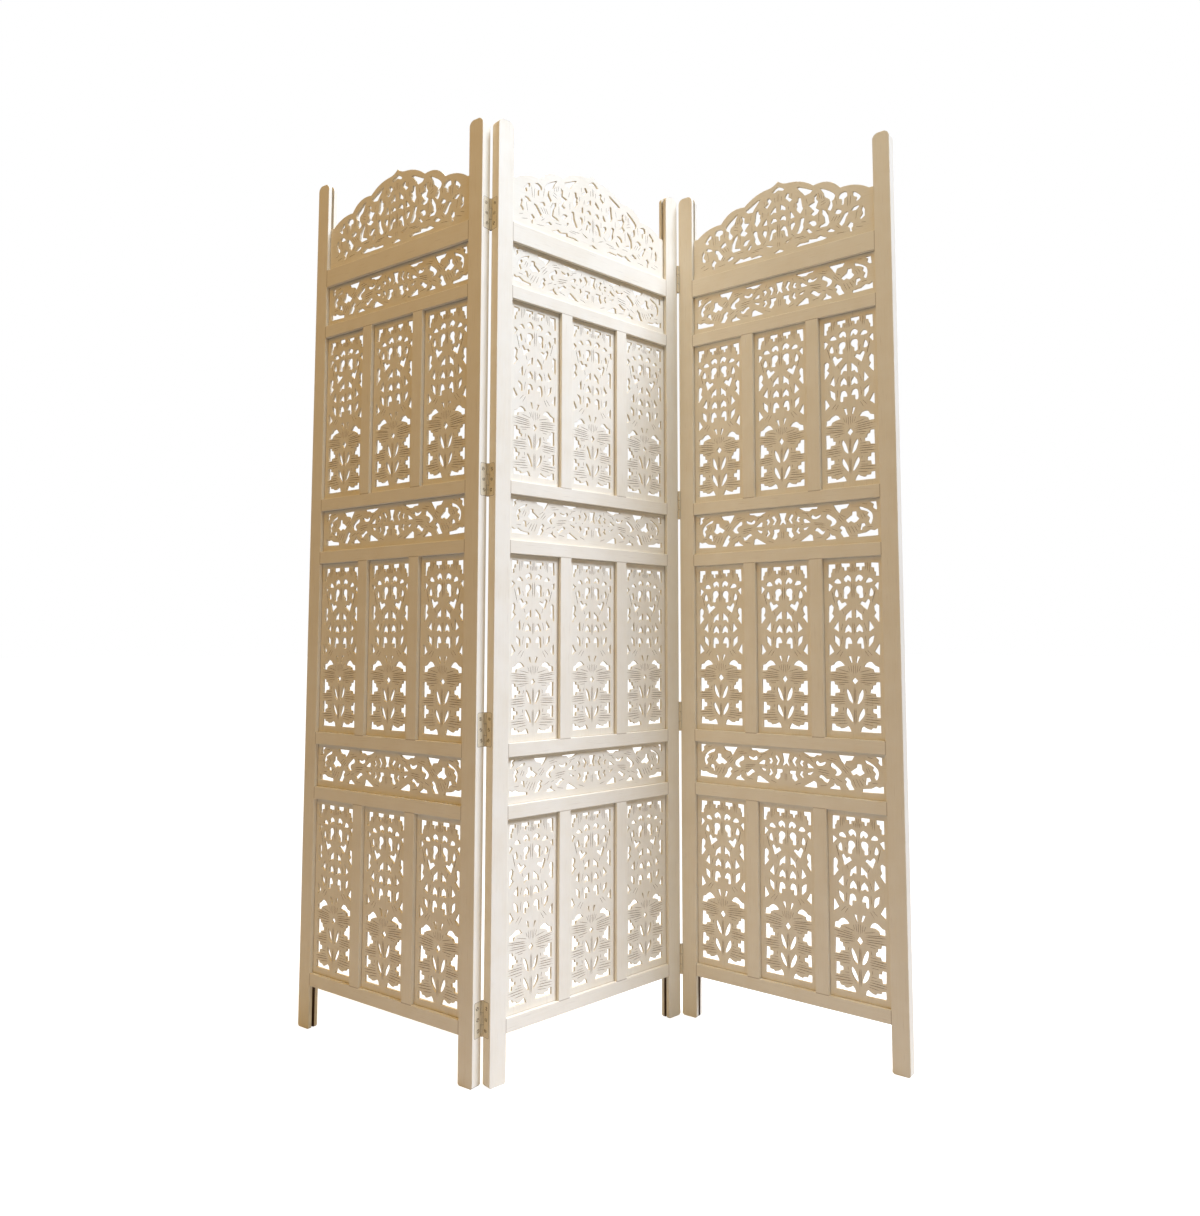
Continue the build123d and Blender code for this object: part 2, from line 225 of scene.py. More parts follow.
CREST_OPENINGS: dict[str, Opening] = {
    "crook": chisel("20,139 15,131 26,118 33,122 24,129 26,137"),
    "slant": chisel("44,143 50,143 80,128 74,122 62,120 58,126"),
    "bud": chisel("5,103 6,117 10,115 18,107 18,101 11,105"),
    "cup": chisel("4,85 8,91 14,92 19,85 18,79 13,83 5,83"),
    "tick": chisel("27,95 31,92 38,81 27,80"),
    "spur": chisel("4,63 10,69 16,66 20,56 22,42 15,46 12,58 5,60"),
    "beak": chisel("28,68 36,71 39,65 31,52 28,60"),
    "stalk": chisel("47,121 53,119 55,100 57,94 51,84 43,94 42,101 44,102 42,110 46,112"),
    "pod": gouge("52,74 61,73 57,59 58,52 51,42 42,43 45,50 50,62"),
    "vine": chisel("82,112 90,117 87,107 92,99 87,87 94,80 90,74 82,71 74,77 82,82 78,88 70,97 83,101"),
    "bean": gouge("68,60 76,62 84,58 86,50 78,49 73,56"),
    "notch": chisel("65,45 69,47 78,36 71,36"),
    "plume": gouge(
        "98,126 108,122 124,111 130,102 127,94 123,92 125,82 120,72 112,79 118,88 118,98 108,106 104,116"
    ),
    "elbow": chisel("100,80 107,75 114,62 116,47 111,41 92,42 96,47 107,50 105,62 100,71"),
    "trefoil": gouge("138,98 145,103 155,102 157,92 150,89 149,78 145,78 145,89 138,91"),
    "hook": gouge("168,97 174,95 184,83 176,76 174,80 176,85 168,89"),
    "seed": gouge("128,64 132,70 140,67 143,62 138,59 131,61"),
    "leaf": chisel("157,59 150,57 137,40 143,32 149,37 153,48 158,54"),
    "wedge": chisel("163,59 170,66 178,68 181,63 174,58"),
    "sickle": chisel("188,62 193,54 192,40 184,35 182,40 188,47 185,56"),
    "fang": chisel("162,36 168,31 168,24 164,22 165,15 161,15 160,24 155,29"),
    "shoe": chisel("110,30 118,34 129,27 124,24 115,26"),
    "foot_slot": chisel("39,15 48,19 68,18 70,23 87,20 95,24 112,15 100,13 44,13"),
    "slit": chisel("14,29 18,32 31,37 29,34 20,29"),
}
CREST_CENTRES: dict[str, Opening] = {
    "crown": gouge("-14,149 -8,155 0,158.5 8,155 14,149 10,147 0,151 -10,147"),
    "arch": chisel("-12,14 0,20 13,14 8,12 -8,12"),
}
CREST_LINES: list[Line] = strokes(
    "33,136>32,120 65,114>68,100 93,118>97,102 98,115>101.5,100 103,113>106,99 93.5,86>93,52 64,92>64,74 "
    "131,101>134,78 157,92>157,68 164,94>161,68 178,62>173,36 128,58>120,46 134,58>126,45 141,57>132,45 "
    "147,54>136,35 131,36>139,28 134,40>143,31 108,78>116,62 36,33.5>62,32 46,28.5>68,29 1.8,78>1.8,40 "
    "8,54>9,42 24,110>25,99 23,78>23,62 8,137>7,124 1.6,144>1.6,124 38,114>37,100 98,94>108,99 "
    "97,88>111,93 66,108>76,105 30,46>38,37 84,36>104,35 130,19>152,17 184,29>196,25 172,22>190,18 "
    "2,36>2,24"
)


def inside(point: Point2, outline: Outline) -> bool:
    """Whether a point lies inside a closed outline."""
    x, z = point
    hit = False
    for (x1, z1), (x2, z2) in zip(outline, outline[1:] + outline[:1]):
        if (z1 > z) != (z2 > z) and x < (x2 - x1) * (z - z1) / (z2 - z1) + x1:
            hit = not hit
    return hit


def area(outline: Outline) -> float:
    """Twice the area inside a closed outline, less than nothing if it runs clockwise."""
    return sum(x1 * z2 - x2 * z1 for (x1, z1), (x2, z2) in zip(outline, outline[1:] + outline[:1]))


def grown(outline: Outline, by: float) -> Outline:
    """An outline with every side moved outward by a distance, mitred at the corners.

    Args:
        outline: A closed outline, either way round.
        by: How far each side moves, in millimetres; a negative one shrinks it.

    Returns:
        The moved outline, point for point.
    """
    side = math.copysign(1.0, area(outline)) * by
    moved = []
    for before, here, after in zip(outline[-1:] + outline, outline, outline[1:] + outline[:1]):
        a = (Vector(here) - Vector(before)).normalized()
        b = (Vector(after) - Vector(here)).normalized()
        mitre = Vector((a.y + b.y, -a.x - b.x))
        reach = side / max(MITRE_LIMIT, 0.5 * mitre.length_squared)
        moved.append((here[0] + mitre.x * reach, here[1] + mitre.y * reach))
    return moved


@dataclass
class Fret:
    """A fretwork pattern: its openings and V-cut lines, cut afresh by hand for every board."""

    openings: dict[str, Opening]
    centres: dict[str, Opening]
    lines: list[Line]
    wander: float = 0.45  # how far a whole opening strays from the template
    shake: float = 0.3  # how far each point of it strays besides
    line_shake: Point2 = (0.25, 0.4)
    land: float = 1.75  # wood between the middle of a line and the nearest opening
    shortest: float = 4.0  # a line with less room than this is left out
    probes: int = 28  # places tried along a line

    def cut(self, hand: Random, overcut: float) -> tuple[list[Outline], list[Line]]:
        """The openings and lines of one board, each a little off the template.

        Args:
            hand: The carver's own source of small errors.
            overcut: How far the saw strays outside each outline.

        Returns:
            The closed outlines of the openings, and the lines that are clear of them.
        """
        templates = list(self.centres.values())
        for opening in self.openings.values():
            templates += [opening, opening.other_side()]
        outlines = [self._sawn(template, hand, overcut) for template in templates]
        lands = [grown(outline, self.land) for outline in outlines]
        across, up = self.line_shake
        kept: list[Line] = []
        for ends in self.lines:
            for side in (1, -1):
                line = tuple((side * x + hand.gauss(0, across), z + hand.gauss(0, up)) for x, z in ends)
                clear = self._clear_stretch(line, lands)
                if clear and not any(self._cross(clear, other) for other in kept):
                    kept.append(clear)
        return outlines, kept

    def _sawn(self, template: Opening, hand: Random, overcut: float) -> Outline:
        """One opening with its template shaken, its curves swept and its sides overcut."""
        dx, dz = hand.gauss(0, self.wander), hand.gauss(0, self.wander)
        shaken = [
            (x + dx + hand.gauss(0, self.shake), z + dz + hand.gauss(0, self.shake))
            for x, z in template.outline
        ]
        if area(shaken) < 0:
            shaken.reverse()
        return grown(self._swept(shaken) if template.edge is Edge.GOUGE else shaken, overcut)

    @staticmethod
    def _swept(points: Outline) -> Outline:
        """An outline carried through its points in one smooth curve."""
        count = len(points)
        swept = []
        for i in range(count):
            before, here, on, after = (Vector(points[(i + k) % count]) for k in (-1, 0, 1, 2))
            swept += [tuple(here), tuple((9 * (here + on) - before - after) / 16)]
        return swept

    def _clear_stretch(self, line: Line, lands: list[Outline]) -> Line | None:
        """The longest stretch of a line that keeps off the openings, or None if it is short."""
        start, end = Vector(line[0]), Vector(line[1])
        places = [start.lerp(end, i / self.probes) for i in range(self.probes + 1)]
        best, run = [], []
        for place in places:
            run = [] if any(inside(tuple(place), land) for land in lands) else [*run, place]
            if len(run) > len(best):
                best = run
        if len(best) < 2 or (best[-1] - best[0]).length < self.shortest:
            return None
        return tuple(best[0]), tuple(best[-1])

    @staticmethod
    def _cross(first: Line, second: Line) -> bool:
        """Whether two lines cross."""
        (a, b), (c, d) = first, second
        return area([a, b, c]) * area([a, b, d]) < 0 and area([c, d, a]) * area([c, d, b]) < 0


TALL_FRET = Fret(TALL_OPENINGS, TALL_CENTRES, TALL_LINES)
BAND_FRET = Fret(BAND_OPENINGS, BAND_CENTRES, BAND_LINES)
CREST_FRET = Fret(CREST_OPENINGS, CREST_CENTRES, CREST_LINES)


# ---- Finishes ----------------------


def linear(code: str) -> tuple[float, float, float, float]:
    """The linear colour of an sRGB hex value such as "#E8E0CC", with full alpha."""
    channels = [int(code[i : i + 2], 16) / 255 for i in (1, 3, 5)]
    flat = [c / 12.92 if c <= 0.04045 else ((c + 0.055) / 1.055) ** 2.4 for c in channels]
    return (*flat, 1.0)


def feed(tree: Tree, node: Node, links: dict) -> Node:
    """Feeds a node's inputs, each from the socket or with the value given for it, and returns it."""
    for name, value in links.items():
        if isinstance(value, Socket):
            tree.links.new(value, node.inputs[name])
        else:
            node.inputs[name].default_value = value
    return node


def add_node(tree: Tree, kind: str, links: dict | None = None, **settings) -> Node:
    """Adds a shader node.

    Args:
        tree: The tree that takes the node.
        kind: What follows "ShaderNode" in the node's type name, such as "Mix".
        links: Input name or number to the socket that feeds it, or to the value it holds.
        settings: The node's own properties.

    Returns:
        The node.
    """
    node = tree.nodes.new(f"ShaderNode{kind}")
    for name, value in settings.items():
        setattr(node, name, value)
    return feed(tree, node, links or {})


def new_object(name: str, data: bpy.types.ID) -> bpy.types.Object:
    """An object in the scene that shows a mesh, a light or a camera."""
    made = bpy.data.objects.new(name, data)
    bpy.context.scene.collection.objects.link(made)
    return made


def new_material(name: str) -> tuple[Material, Tree, Node]:
    """A material with an empty Principled surface: the material, its tree and the shader."""
    material = bpy.data.materials.new(name)
    material.use_nodes = True
    tree = material.node_tree
    return material, tree, tree.nodes["Principled BSDF"]


@dataclass(frozen=True)
class Finish:
    """What the screen's finishes share: they follow the grain, and their pattern stands in relief."""

    name: str
    roughness: float = 0.5
    index: float = 1.5
    drawn: float = 1.0  # below one, the pattern draws out along the grain
    relief_mm: float = 0.1
    relief_strength: float = 0.4

    def material(self) -> Material:
        """Builds the finish's material."""
        material, tree, shader = new_material(self.name)
        place = add_node(tree, "Attribute", attribute_name="grain").outputs["Vector"]
        recess = add_node(tree, "Attribute", attribute_name="recess").outputs["Fac"]
        stretch = {0: place, 1: (self.drawn, 1.0, 1.0)}
        along = add_node(tree, "VectorMath", stretch, operation="MULTIPLY").outputs[0]
        coat, rough, height = self.lay(tree, place, along, recess)
        relief = {"Height": height, "Strength": self.relief_strength, "Distance": self.relief_mm * MM}
        bump = add_node(tree, "Bump", relief).outputs["Normal"]
        feed(tree, shader, {"Base Color": coat, "Roughness": rough, "Normal": bump, "IOR": self.index})
        return material

    def lay(self, tree: Tree, place: Socket, along: Socket, recess: Socket) -> Coats:
        """Lays the finish's own coats.

        Args:
            tree: The material's tree.
            place: Where a point lies in the timber.
            along: The same, drawn out along the grain.
            recess: How dark the surface is laid there: painted shade in cuts, corners and gaps, dark joint
                lines, and rubbed paint.

        Returns:
            The colour, the roughness and the pattern that stands in relief.
        """
        raise NotImplementedError


@dataclass(frozen=True)
class ChalkPaint(Finish):
    """Cream chalk paint brushed by hand over planed mango wood.

    The eye gets a soft matt cream with faint streaks along the grain, a little cloudiness where
    the coats differ, dark joint lines, and a warm brown laid as painted shade into cuts and corners.
    """

    roughness: float = 0.62
    index: float = 1.45
    drawn: float = 0.045
    relief_mm: float = 0.12
    body: str = "#ECE5D3"
    thin: str = "#E3D8C0"
    fresh: str = "#F1ECE0"
    wood: str = "#8A6D48"
    streak_mm: float = 1.6  # width of a brush's bristle mark, drawn coarse enough to show
    cloud_mm: float = 60.0  # size of the patches where one coat overlaps another
    pore_mm: float = 0.9  # width of an open pore of the wood under the paint

    def lay(self, tree: Tree, place: Socket, along: Socket, recess: Socket) -> Coats:
        """Lays the paint over the wood, thinner and thicker as the brush left it."""
        patterns = []
        for where, wave, detail in (
            (along, 2 * self.streak_mm, 3.0),
            (place, self.cloud_mm, 3.0),
            (along, 2 * self.pore_mm, 1.0),
        ):
            noise = {"Vector": where, "Scale": 1.0 / (wave * MM), "Detail": detail, "Roughness": 0.55}
            patterns.append(add_node(tree, "TexNoise", noise).outputs["Fac"])
        streaks, clouds, pores = patterns
        coat = linear(self.body)
        for pattern, low, high, most, colour in (
            (clouds, 0.35, 0.68, 0.5, self.thin),
            (streaks, 0.32, 0.70, 0.25, self.fresh),
            (pores, 0.66, 0.78, 0.16, self.wood),
            # recess: a warm brown laid as painted shade in cuts, groove lips and board seats, and as dark
            # joint lines
            (recess, 0.0, 1.0, 0.92, self.wood),
        ):
            reach = {"Value": pattern, "From Min": low, "From Max": high, "To Max": most}
            share = add_node(tree, "MapRange", reach).outputs["Result"]
            coat = add_node(tree, "Mix", {0: share, 6: coat, 7: linear(colour)}, data_type="RGBA").outputs[2]
        dry = {"Value": streaks, "To Min": self.roughness - 0.06, "To Max": self.roughness + 0.1}
        return coat, add_node(tree, "MapRange", dry).outputs["Result"], streaks


@dataclass(frozen=True)
class BareMango(Finish):
    """Unpainted mango wood stained brown, left in the grooves that no panel fills.

    The eye gets a dark warm brown with long uneven figure and a dry surface.
    """

    roughness: float = 0.8
    drawn: float = 0.06
    relief_mm: float = 0.15
    dark: str = "#4A3626"
    light: str = "#7A5C40"
    figure_mm: float = 4.0  # width of the growth figure on the sawn face

    def lay(self, tree: Tree, place: Socket, along: Socket, recess: Socket) -> Coats:
        """Shares the wood out between its dark and its light growth."""
        sawn = {"Vector": along, "Scale": 1.0 / (self.figure_mm * MM), "Detail": 5.0, "Roughness": 0.65}
        figure = add_node(tree, "TexNoise", sawn).outputs["Fac"]
        tones = {0: figure, 6: linear(self.dark), 7: linear(self.light)}
        return add_node(tree, "Mix", tones, data_type="RGBA").outputs[2], self.roughness, figure


@dataclass(frozen=True)
class PaintedSteel(Finish):
    """Pressed steel brushed over with the cream paint, which thins at the edges.

    The eye gets the frame's cream a shade dirtier, with darker metal where leaves rub, and painted shade in
    gaps and slots.
    """

    paint: str = "#DFD3B6"
    wear_and_shade: str = "#5F4F38"
    cloud_mm: float = 6.0  # size of the patches where the paint has rubbed thin

    def lay(self, tree: Tree, place: Socket, along: Socket, recess: Socket) -> Coats:
        """Lays the paint over the metal, rubbed thin in patches, and darkens the recesses as painted shade.
        """
        cloud = {"Vector": along, "Scale": 1.0 / (self.cloud_mm * MM), "Detail": 4.0}
        patches = add_node(tree, "TexNoise", cloud).outputs["Fac"]
        rubbing = {"Value": patches, "From Min": 0.55, "From Max": 0.75, "To Max": 0.3}
        rubbed = add_node(tree, "MapRange", rubbing).outputs["Result"]
        # recess: painted shade in the hinges' gaps, slots and edge outlines, with rubbed paint
        metal = add_node(tree, "Math", {0: rubbed, 1: recess}, operation="MAXIMUM").outputs[0]
        tones = {0: metal, 6: linear(self.paint), 7: linear(self.wear_and_shade)}
        return add_node(tree, "Mix", tones, data_type="RGBA").outputs[2], self.roughness, patches


# ---- Woodwork ----------------------


@dataclass(frozen=True)
class Standing:
    """Where a leaf stands: its own point `hinge` lies at `pin` and it is turned about it."""

    pin: Vector
    hinge: Point2
    turn: float

    def world(self, point: Point3) -> Vector:
        """A point of the leaf, in millimetres, as a place in the room in metres."""
        u, d = point[0] - self.hinge[0], point[1] - self.hinge[1]
        cos, sin = math.cos(self.turn), math.sin(self.turn)
        return Vector(
            (self.pin.x + (u * cos - d * sin) * MM, self.pin.y + (u * sin + d * cos) * MM, point[2] * MM)
        )


@dataclass
class Workpiece:
    """One visible piece being built up in its leaf's millimetres."""

    name: str
    standing: Standing
    grain: Grain = Grain.UP
    points: list[Point3] = field(default_factory=list)
    shifts: list[Point3] = field(default_factory=list)
    recesses: list[float] = field(default_factory=list)
    faces: list[tuple[int, ...]] = field(default_factory=list)
    kinds: list[Face] = field(default_factory=list)
    shift: Point3 = (0.0, 0.0, 0.0)  # where in the timber the run being added is cut from

    def take_timber(self, hand: Random) -> None:
        """Moves on in the timber, so that the next run has a grain of its own."""
        self.shift = tuple(hand.uniform(-STOCK_MM, STOCK_MM) for _ in range(3))

    def add(self, points: list[Point3], recesses: list[float] | None = None) -> list[int]:
        """Adds points, each with how dark it is laid in its recesses, and returns their numbers."""
        first = len(self.points)
        self.points += points
        self.shifts += [self.shift] * len(points)
        self.recesses += recesses or [0.0] * len(points)
        return list(range(first, len(self.points)))

    def skin(self, rings: list[list[int]], kinds: list[Face]) -> None:
        """Joins closed rings of points in turn with four-sided faces, a kind for each round."""
        count = len(kinds)
        for first, second in zip(rings, rings[1:]):
            for i in range(count):
                j = (i + 1) % count
                self.faces.append((first[i], first[j], second[j], second[i]))
            self.kinds += kinds

    def cap(self, ring: list[int], kind: Face) -> None:
        """Closes a ring with one flat face."""
        self.faces.append(tuple(ring))
        self.kinds.append(kind)

    def finish(self, materials: list[Material], body: str, slot: str) -> bpy.types.Object:
        """Makes the mesh object, gives it its finishes and sets it on its body.

        Args:
            materials: The materials of painted, cut, bare and scored faces, as far as it has them.
            body: The body that the piece moves with.
            slot: The record's material slot; not used.

        Returns:
            The object.
        """
        mesh = bpy.data.meshes.new(self.name)
        mesh.from_pydata([self.standing.world(p) for p in self.points], [], self.faces)
        grain = mesh.attributes.new("grain", "FLOAT_VECTOR", "POINT")
        order = (2, 0, 1) if self.grain is Grain.UP else (0, 2, 1)
        flat = [(p[i] + s[i]) * MM for p, s in zip(self.points, self.shifts) for i in order]
        grain.data.foreach_set("vector", flat)
        mesh.attributes.new("recess", "FLOAT", "POINT").data.foreach_set("value", self.recesses)
        for material in materials:
            mesh.materials.append(material)
        mesh.polygons.foreach_set("material_index", [kind.value for kind in self.kinds])
        work = bmesh.new()
        work.from_mesh(mesh)
        bmesh.ops.remove_doubles(work, verts=work.verts, dist=WELD_MM * MM)
        bmesh.ops.recalc_face_normals(work, faces=work.faces)
        work.to_mesh(mesh)
        work.free()
        piece = new_object(self.name, mesh)
        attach(piece, body)
        LOG.info("%s: %d faces on %s", self.name, len(mesh.polygons), body)
        return piece


@dataclass
class Member:
    """A straight piece of the frame: its section, worked with eased arrises and panel grooves."""

    width: float
    timber: float = 22.0
    groove: float = 6.4
    low_groove: float = 0.0  # depth of the groove in the low edge
    high_groove: float = 0.0
    arris: float = 1.0
    shade_and_joint_band: float = 1.4  # how far from a groove the colour takes painted shade, and from a joint a dark joint line
    # how dark the painted shade is at a groove's lip, in the corner where a board sits
    lip_painted_shade: float = 0.6
    joint_bareness: float = 0.8

    def section(self, inset: float = 0.0, planed: float = 0.0) -> tuple[Outline, list[float], list[Face]]:
        """The outline of the member's section, from its low edge to its high edge and round.

        Args:
            inset: How far both edges are drawn in.
            planed: How far both faces are drawn in.

        Returns:
            Points of (across, depth), how dark each is laid as painted shade by the grooves, and what each
            side from point to point is.
        """
        low, high = inset, self.width - inset
        front, back = planed, self.timber - planed
        points: Outline = []
        bare: list[float] = []
        kinds: list[Face] = []
        corners = ((low, front, 180), (high, front, 270), (high, back, 0), (low, back, 90))
        for across, depth, start in corners:
            corner = self._arris(across, depth, start)
            points += corner
            bare += [0.0] * len(corner)
            kinds += [Face.PAINTED] * len(corner)
            if start == 270 and self.high_groove:
                floor, order = min(high, self.width - self.high_groove), 1
            elif start == 90 and self.low_groove:
                floor, order = max(low, self.low_groove), -1
            else:
                continue
            near, far = ((self.timber - order * side) / 2 for side in (self.groove, -self.groove))
            points += [(across, near - order * self.shade_and_joint_band), (across, near), (floor, near)]
            points += [(floor, far), (across, far), (across, far + order * self.shade_and_joint_band)]
            bare += [0.0, self.lip_painted_shade, 1.0, 1.0, self.lip_painted_shade, 0.0]
            kinds += [Face.PAINTED] + [Face.BARE] * 3 + [Face.PAINTED] * 2
        return points, bare, kinds

    def _arris(self, across: float, depth: float, start: float) -> list[Point2]:
        """The points round an eased corner whose sharp form would be at (across, depth)."""
        side = 1 if start in (180, 90) else -1
        face = 1 if start in (180, 270) else -1
        centre = (across + side * self.arris, depth + face * self.arris)
        angles = [math.radians(start + 90 * i / ARRIS_STEPS) for i in range(ARRIS_STEPS + 1)]
        return [(centre[0] + self.arris * math.cos(a), centre[1] + self.arris * math.sin(a)) for a in angles]

    def run(self, piece: Workpiece, at: float, start: float, end: float) -> None:
        """Adds the member to a piece as one straight run.

        Args:
            piece: The piece that takes it; its grain says which way the member runs.
            at: Where its low edge lies, across its run.
            start: Where the run begins.
            end: Where it ends.
        """
        points, bare, kinds = self.section()
        rings = []
        shy = self.arris + self.shade_and_joint_band
        joint = self.joint_bareness
        for along, least in ((start, joint), (start + shy, 0.0), (end - shy, 0.0), (end, joint)):
            if piece.grain is Grain.UP:
                ring = [(at + a, d, along) for a, d in points]
            else:
                ring = [(along, d, at + a) for a, d in points]
            rings.append(piece.add(ring, [max(b, least) for b in bare]))
        piece.skin(rings, kinds)
        piece.cap(rings[0], Face.BARE)
        piece.cap(rings[-1], Face.BARE)


@dataclass
class Board:
    """A thin board with fretwork: chisel lips, straight walls, and V-cut lines on its face."""

    front: float = 8.0
    thickness: float = 6.0
    lip: float = 0.5
    relief: float = 1.3  # how far each opening is eased out at the back, so the fret looks light
    relief_depth: float = 2.0
    shade_and_joint_band: float = 1.6  # how far out of its groove the board's face takes painted shade
    # how dark the painted shade is where the board enters its groove
    seat_painted_shade: float = 0.4
    narrow: float = 0.36  # least half width of a V-cut line, from rim to keel
    wide: float = 0.52  # most half width of one
    slenderness: float = 60.0  # a line's length over its half width, between those two
    bite: float = 1.2  # a line's depth over its half width
    full: Point2 = (0.2, 0.75)  # where along it a line starts and stops having its full width
    keel: Point2 = (0.22, 0.72)  # where along it its bottom runs level

    def carve(
        self,
        piece: Workpiece,
        outline: Outline,
        fretwork: tuple[list[Outline], list[Line]],
        seat: list[Outline],
        at: Point2,
    ) -> None:
        """Adds the carved board to a piece.

        Args:
            piece: The piece that takes it.
            outline: The board's own outline.
            fretwork: The outlines that are cut right through, and the V-cut lines on its face.
            seat: Two runs of points side by side, where the board enters its grooves and just outside.
            at: Where the pattern's origin lies on the leaf.
        """
        openings, lines = fretwork
        back = self.front + self.thickness
        rim = grown(outline, -self.lip)
        mouths = [grown(opening, self.lip) for opening in openings]
        back_mouths = [grown(opening, self.relief) for opening in openings]
        walls = [(rim, outline, rim, self.lip, Face.PAINTED)]
        for mouth, opening, behind in zip(mouths, openings, back_mouths):
            walls.append((mouth, opening, behind, self.relief_depth, Face.CUT))
        for front_ring, middle, back_ring, ease, kind in walls:
            depths = (self.front, self.front + self.lip, back - ease, back)
            rings = [
                piece.add([(at[0] + x, depth, at[1] + z) for x, z in ring])
                for ring, depth in zip((front_ring, middle, middle, back_ring), depths)
            ]
            piece.skin(rings, [kind] * len(middle))
        self._sheet(piece, [rim, *mouths], lines, seat, (at[0], self.front, at[1]))
        self._sheet(piece, [rim, *back_mouths], [], seat, (at[0], back, at[1]))

    def _stroke(self, line: Line) -> tuple[Outline, Outline, float]:
        """A V-cut's rim, counter-clockwise, its keel and its depth: a longer stroke bites deeper."""
        a, b = Vector(line[0]), Vector(line[1])
        half = min(self.wide, max(self.narrow, (b - a).length / self.slenderness))
        side = (b - a).normalized().orthogonal() * half
        blunt, fine = (a.lerp(b, share) for share in self.full)
        rim = [tuple(point) for point in (a, blunt - side, fine - side, b, fine + side, blunt + side)]
        if area(rim) < 0:
            rim = rim[:1] + rim[:0:-1]
        return rim, [tuple(a.lerp(b, share)) for share in self.keel], self.bite * half

    def _sheet(
        self, piece: Workpiece, bounds: list[Outline], lines: list[Line], seat: list[Outline], at: Point3
    ) -> None:
        """Adds one face of the board.

        Args:
            piece: The piece that takes it.
            bounds: The face's rim, then the mouths of the openings that are left out of it.
            lines: The V-cut lines that are sunk in it.
            seat: The runs of points round the grooves, which carry the painted shade where the board meets
                the frame.
            at: Where the pattern's origin lies on the leaf, at this face's depth.
        """
        flat: Outline = []
        sunk: list[float] = []
        bare: list[float] = []
        runs: list[Line] = []

        def lay(points: Outline, drop: float, darkening: float) -> list[int]:
            """Notes points, how deep they lie and how dark they are laid, and returns their numbers."""
            first = len(flat)
            flat.extend(points)
            sunk.extend([drop] * len(points))
            bare.extend([darkening] * len(points))
            return list(range(first, len(flat)))

        rings = [lay(ring, 0.0, 0.0) for ring in bounds]
        for line in lines:
            rim, keel, depth = self._stroke(line)
            rings.append(lay(rim, 0.0, 0.0))
            # a V-cut's keel is darkened fully, as painted shade down in the cut
            spine = [rings[-1][0], *lay(keel, depth, 1.0), rings[-1][3]]
            runs += zip(spine, spine[1:])
        # the seat is darkened as painted shade, where the board meets the frame
        for points, darkening in zip(seat, (self.seat_painted_shade, 0.0)):
            run = lay(points, 0.0, darkening)
            runs += zip(run, run[1:])
        places = [Vector(p) for p in flat]
        cut = delaunay_2d_cdt(places, runs, rings, INSIDE_ONLY, NEARNESS, True)
        verts, _, faces, origins, _, owners = cut
        numbers = []
        for vert, sources in zip(verts, origins):
            drop = max((sunk[i] for i in sources), default=0.0)
            # the painted shade of the seat and of the V-cuts' keels at this point
            wear_and_shade = max((bare[i] for i in sources), default=0.0)
            numbers += piece.add([(at[0] + vert.x, at[1] + drop, at[2] + vert.y)], [wear_and_shade])
        for face, owner in zip(faces, owners):
            if 0 in owner and all(number == 0 or number >= len(bounds) for number in owner):
                piece.faces.append(tuple(numbers[i] for i in face))
                piece.kinds.append(Face.SCORED if len(owner) > 1 else Face.PAINTED)


@dataclass
class LeafSizes:
    """The sizes of one leaf, in millimetres."""

    height: float = 1830.0
    width: float = 498.0
    timber: float = 22.0
    stile: float = 35.0
    rail: float = 26.0
    top_rail: float = 39.0
    muntin: float = 28.0
    foot: float = 88.0
    horn: float = 200.0
    band: float = 89.0
    tiers: int = 3
    columns: int = 3
    horn_radius: float = 12.0
    horn_arris: float = 0.5
    horn_fade: float = 3.0  # below the crest's shoulder, where the groove starts to show paint
    foot_chamfer: float = 3.0
    stile_groove: float = 8.0
    cross_groove: float = 6.0
    tongue: float = 5.0  # how far a board reaches into its grooves
    hinge_edge: float = 1.0  # how far a stile's edge stands up round the hinge plates let into it
    crest_peak: float = 171.5
    crest_shoulder: float = 96.0

    @property
    def clear(self) -> float:
        """The width between the stiles."""
        return self.width - 2 * self.stile

    @property
    def column(self) -> float:
        """The width of a tall opening."""
        return (self.clear - (self.columns - 1) * self.muntin) / self.columns

    @property
    def top_rail_bottom(self) -> float:
        """The height of the top rail's lower edge."""
        return self.height - self.horn - self.top_rail

    @property
    def crest_base(self) -> float:
        """The height of the top rail's upper edge, where the crest comes out of it."""
        return self.top_rail_bottom + self.top_rail

    @property
    def pitch(self) -> float:
        """The rise from one tier to the next."""
        return (self.top_rail_bottom - self.foot) / self.tiers

    @property
    def tall(self) -> float:
        """The height of a tall opening."""
        return self.pitch - 2 * self.rail - self.band

    def opening(self, tier: int) -> float:
        """The height at which a tier's tall openings begin."""
        return self.foot + tier * self.pitch + self.rail

    def lefts(self) -> list[float]:
        """Where the left edge of each column's opening lies."""
        return [self.stile + i * (self.column + self.muntin) for i in range(self.columns)]


